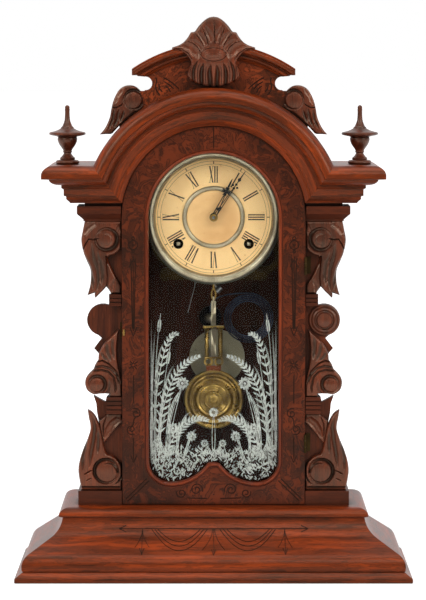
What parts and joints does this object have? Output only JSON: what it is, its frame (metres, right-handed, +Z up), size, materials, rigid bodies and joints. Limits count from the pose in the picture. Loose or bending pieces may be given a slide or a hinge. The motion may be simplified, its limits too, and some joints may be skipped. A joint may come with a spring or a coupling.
{
  "type": "shelf clock",
  "caption": "Victorian walnut shelf clock with moulded ogee base, arched glazed door, carved crest and brackets, striking movement, pendulum and coil gong.",
  "frame": {"origin": "centre of the footprint on the plane the clock stands on", "axes": "+Z up; the dial faces -Y; +X to the right as seen from the front"},
  "size_m": [0.3872, 0.158, 0.5481],
  "materials": {
    "walnut": "red-brown stained walnut, shellac finish",
    "walnut_dark": "carved walnut, darker in the hollows",
    "burl": "burl walnut veneer, shellac finish",
    "inside": "dark red-brown stained softwood",
    "brass": "lacquered clock brass",
    "bob_brass": "polished brass",
    "nickel": "nickel plate with a slight tarnish",
    "blued": "blued spring steel",
    "steel": "bright steel",
    "black": "blue-black hands",
    "dial": "aged cream paper on a tin pan",
    "label": "bare grey paper",
    "glass": "old clear glass with a white stencil"
  },
  "bodies": {
    "case": {"skirt": "walnut", "ogee_front": "walnut", "ogee_left": "walnut", "ogee_right": "walnut", "base_cap": "walnut", "base_back": "inside", "plinth_blocks": "walnut", "case_side_left": "walnut", "case_side_right": "walnut", "case_floor": "inside", "backboard": "inside", "hood": "walnut", "face_frame": "inside", "arch_moulding": "walnut", "cornice_left": "walnut", "cornice_right": "walnut", "capitals": "walnut", "fret_left": "walnut", "fret_right": "walnut", "upper_scroll_left": "walnut_dark", "upper_scroll_right": "walnut_dark", "leaf_scroll_left": "walnut_dark", "leaf_scroll_right": "walnut_dark", "lower_scroll_left": "walnut_dark", "lower_scroll_right": "walnut_dark", "reeded_blocks": "walnut", "roundel": "walnut", "crest_board": "burl", "crest_mouldings": "walnut", "crest_shell": "walnut_dark", "wing_scrolls": "walnut_dark", "finial_left": "walnut", "finial_right": "walnut", "case_hinges": "brass", "dial_pan": "dial", "dial_bezel": "nickel", "movement_plates": "brass", "mainsprings": "blued", "gong": "blued", "gong_stand": "nickel", "back_label": "label"},
    "door": {"door_frame": "burl", "door_bead": "burl", "door_glass": "glass", "door_hinges": "brass"},
    "catch": {"door_catch": "brass"},
    "minute_hand": {"minute_hand": "black"},
    "hour_hand": {"hour_hand": "brass"},
    "minute_wheel": {"minute_wheel": "brass"},
    "third_wheel": {"third_wheel": "brass"},
    "escape_wheel": {"escape_wheel": "brass"},
    "time_wheel": {"time_wheel": "brass"},
    "strike_wheel": {"strike_wheel": "brass"},
    "strike_second": {"strike_second": "brass"},
    "fly": {"fly": "brass"},
    "hammer": {"hammer": "steel"},
    "verge": {"verge": "steel"},
    "pendulum": {"pendulum_rod": "brass", "pendulum_frame": "bob_brass", "pendulum_bob": "bob_brass"}
  },
  "joints": [
    {"name": "door_swing", "type": "hinge", "parent": "case", "child": "door", "pos_m": [0.09065, -0.0176, 0.2], "axis": [0, 0, 1], "range_deg": [0, 98]},
    {"name": "catch_turn", "type": "hinge", "parent": "door", "child": "catch", "pos_m": [-0.0886, -0.016, 0.2386], "axis": [0, 1, 0], "range_deg": [-90, 0]},
    {"name": "minute_turn", "type": "hinge", "parent": "case", "child": "minute_hand", "pos_m": [0, 0, 0.351], "axis": [0, 1, 0], "continuous": true},
    {"name": "hour_turn", "type": "hinge", "parent": "case", "child": "hour_hand", "pos_m": [0, 0, 0.351], "axis": [0, 1, 0], "continuous": true},
    {"name": "minute_wheel_turn", "type": "hinge", "parent": "case", "child": "minute_wheel", "pos_m": [-0.01128, 0.028, 0.3469], "axis": [0, 1, 0], "continuous": true},
    {"name": "third_turn", "type": "hinge", "parent": "case", "child": "third_wheel", "pos_m": [0.01767, 0.034, 0.3668], "axis": [0, 1, 0], "continuous": true},
    {"name": "escape_turn", "type": "hinge", "parent": "case", "child": "escape_wheel", "pos_m": [0, 0.026, 0.377], "axis": [0, 1, 0], "continuous": true},
    {"name": "time_wheel_turn", "type": "hinge", "parent": "case", "child": "time_wheel", "pos_m": [0.035, 0.038, 0.3244], "axis": [0, 1, 0], "continuous": true},
    {"name": "strike_wheel_turn", "type": "hinge", "parent": "case", "child": "strike_wheel", "pos_m": [-0.035, 0.038, 0.3244], "axis": [0, 1, 0], "continuous": true},
    {"name": "strike_second_turn", "type": "hinge", "parent": "case", "child": "strike_second", "pos_m": [-0.03, 0.034, 0.3555], "axis": [0, 1, 0], "continuous": true},
    {"name": "fly_turn", "type": "hinge", "parent": "case", "child": "fly", "pos_m": [-0.022, 0.034, 0.37394], "axis": [0, 1, 0], "continuous": true},
    {"name": "hammer_lift", "type": "hinge", "parent": "case", "child": "hammer", "pos_m": [-0.016, 0.058, 0.297], "axis": [0, 1, 0], "range_deg": [-12, 0]},
    {"name": "verge_rock", "type": "hinge", "parent": "case", "child": "verge", "pos_m": [0, 0.026, 0.3956], "axis": [0, 1, 0], "range_deg": [-4, 4]},
    {"name": "pendulum_swing", "type": "hinge", "parent": "case", "child": "pendulum", "pos_m": [0, 0.02, 0.395], "axis": [0, 1, 0], "range_deg": [-4, 4]}
  ],
  "couplings": [
    {"joint": "hour_turn", "follows": "minute_turn", "ratio": 0.083333},
    {"joint": "minute_wheel_turn", "follows": "minute_turn", "ratio": -0.33333},
    {"joint": "third_turn", "follows": "minute_turn", "ratio": -10.286},
    {"joint": "escape_turn", "follows": "minute_turn", "ratio": 89.633},
    {"joint": "time_wheel_turn", "follows": "minute_turn", "ratio": -0.14286},
    {"joint": "strike_second_turn", "follows": "strike_wheel_turn", "ratio": -7.75},
    {"joint": "fly_turn", "follows": "strike_wheel_turn", "ratio": 66.429},
    {"joint": "verge_rock", "follows": "pendulum_swing", "ratio": 1}
  ]
}
